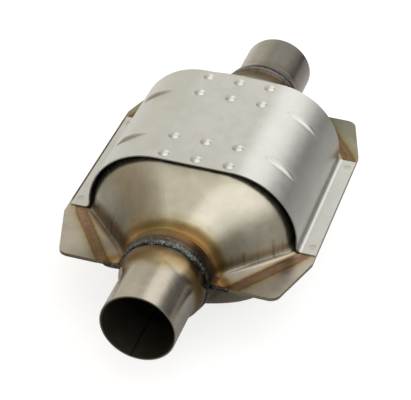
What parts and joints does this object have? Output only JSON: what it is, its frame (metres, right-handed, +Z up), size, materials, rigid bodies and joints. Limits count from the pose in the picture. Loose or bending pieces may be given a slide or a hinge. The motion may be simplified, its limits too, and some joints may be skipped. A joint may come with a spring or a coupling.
{
  "type": "catalytic converter",
  "caption": "Exhaust catalytic converter: two pressed shell halves seam welded along a flat flange, a ribbed and dimpled heat shield on top, and a flared round neck at each end.",
  "frame": {"origin": "centre of the flat underside, straight below the middle of the body", "axes": "+Y along the pipe axis towards the outlet, +X across the flanges, +Z up towards the heat shield"},
  "size_m": [0.207, 0.382, 0.1308],
  "materials": {
    "shell_steel": "satin pressed stainless steel, brown and gold from heat beside the welds",
    "shield_steel": "smooth light grey stainless sheet",
    "neck_steel": "satin drawn stainless tube",
    "weld_metal": "rough dark weld bead",
    "ceramic": "matt coated ceramic honeycomb",
    "mat_fibre": "felted fibre mat",
    "wire_mesh": "pressed knitted wire"
  },
  "bodies": {
    "root": {"upper_shell": "shell_steel", "lower_shell": "shell_steel", "heat_shield": "shield_steel", "inlet_neck": "neck_steel", "outlet_neck": "neck_steel", "inlet_neck_weld": "weld_metal", "outlet_neck_weld": "weld_metal", "inlet_left_flange_weld": "weld_metal", "inlet_right_flange_weld": "weld_metal", "outlet_left_flange_weld": "weld_metal", "outlet_right_flange_weld": "weld_metal", "inlet_brick": "ceramic", "outlet_brick": "ceramic", "inlet_mat": "mat_fibre", "outlet_mat": "mat_fibre", "inlet_brick_front_seal": "wire_mesh", "inlet_brick_rear_seal": "wire_mesh", "outlet_brick_front_seal": "wire_mesh", "outlet_brick_rear_seal": "wire_mesh"}
  },
  "joints": []
}
